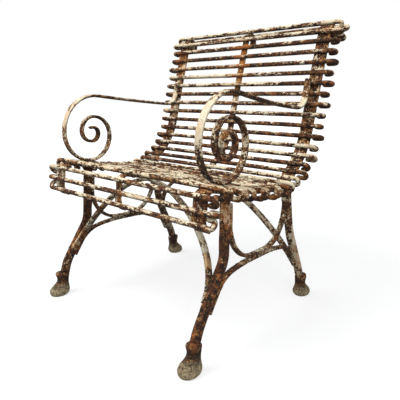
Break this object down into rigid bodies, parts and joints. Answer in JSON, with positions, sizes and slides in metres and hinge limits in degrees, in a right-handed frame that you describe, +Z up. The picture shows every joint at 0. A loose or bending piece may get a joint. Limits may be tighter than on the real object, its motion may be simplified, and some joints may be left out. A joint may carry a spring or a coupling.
{
  "type": "garden armchair",
  "caption": "Slatted garden armchair of riveted forged iron bars and rods, with scrolled arms, arched side braces, bowed cross bars and cast hoof feet.",
  "frame": {"origin": "on the floor, under the middle of the chair's overall box", "axes": "+Z up, the chair faces -Y, +X is on the right of someone who looks along +Y"},
  "size_m": [0.656, 0.6584, 0.828],
  "materials": {
    "strap_paint": "forged iron, old cream paint mostly flaked off over brown rust",
    "rod_paint": "drawn iron rod, flaking off-white paint over red-brown rust",
    "arm_paint": "forged half-round iron, chipped cream paint with orange rust patches",
    "leg_paint": "forged half-round iron, worn cream paint over brown rust",
    "brace_paint": "forged flat iron, worn greyish cream paint over brown rust",
    "hoof_iron": "cast iron, grey-olive weathered paint with brown rust",
    "rivet_iron": "peened iron, brown rust with traces of paint"
  },
  "bodies": {
    "root": {"right_strap": "strap_paint", "centre_strap": "strap_paint", "left_strap": "strap_paint", "front_rod_1": "rod_paint", "front_rod_2": "rod_paint", "front_rod_3": "rod_paint", "front_rod_4": "rod_paint", "seat_rod_1": "rod_paint", "seat_rod_2": "rod_paint", "seat_rod_3": "rod_paint", "seat_rod_4": "rod_paint", "seat_rod_5": "rod_paint", "seat_rod_6": "rod_paint", "seat_rod_7": "rod_paint", "seat_rod_8": "rod_paint", "seat_rod_9": "rod_paint", "back_rod_1": "rod_paint", "back_rod_2": "rod_paint", "back_rod_3": "rod_paint", "back_rod_4": "rod_paint", "back_rod_5": "rod_paint", "back_rod_6": "rod_paint", "back_rod_7": "rod_paint", "back_rod_8": "rod_paint", "back_rod_9": "rod_paint", "back_rod_10": "rod_paint", "back_rod_11": "rod_paint", "back_rod_12": "rod_paint", "back_rod_13": "rod_paint", "back_rod_14": "rod_paint", "back_rod_15": "rod_paint", "back_rod_16": "rod_paint", "top_rod_1": "rod_paint", "top_rod_2": "rod_paint", "top_rod_3": "rod_paint", "top_rod_4": "rod_paint", "right_arm": "arm_paint", "left_arm": "arm_paint", "front_right_leg": "leg_paint", "front_left_leg": "leg_paint", "rear_right_leg": "leg_paint", "rear_left_leg": "leg_paint", "right_u_bar": "brace_paint", "right_arch": "brace_paint", "left_u_bar": "brace_paint", "left_arch": "brace_paint", "front_cross_bar": "brace_paint", "rear_cross_bar": "brace_paint", "front_right_hoof": "hoof_iron", "front_left_hoof": "hoof_iron", "rear_right_hoof": "hoof_iron", "rear_left_hoof": "hoof_iron", "rod_rivets": "rivet_iron", "arm_rivets": "rivet_iron", "leg_rivets": "rivet_iron", "arch_rivets": "rivet_iron", "cross_bar_foot_rivets": "rivet_iron", "cross_bar_crown_rivets": "rivet_iron", "hoof_pins": "rivet_iron"}
  },
  "joints": []
}
